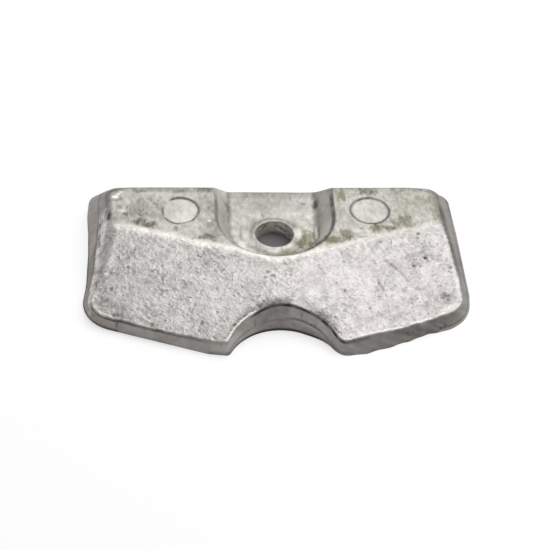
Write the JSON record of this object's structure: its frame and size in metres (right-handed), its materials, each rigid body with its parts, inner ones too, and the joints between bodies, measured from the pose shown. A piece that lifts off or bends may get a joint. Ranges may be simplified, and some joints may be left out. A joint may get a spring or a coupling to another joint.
{
  "type": "sacrificial anode",
  "caption": "Wedge-topped cast block with a V-shaped front, a round front notch and a bolt hole in an open-backed pocket.",
  "frame": {"origin": "bolt hole axis on the mounting face", "axes": "+X from end to end, +Y towards the straight back edge, +Z along the bolt axis away from the mounting face"},
  "size_m": [0.099, 0.0612, 0.01],
  "materials": {
    "cast_aluminium": "rough as cast, unpainted"
  },
  "bodies": {
    "root": {"anode_casting": "cast_aluminium"}
  },
  "joints": []
}
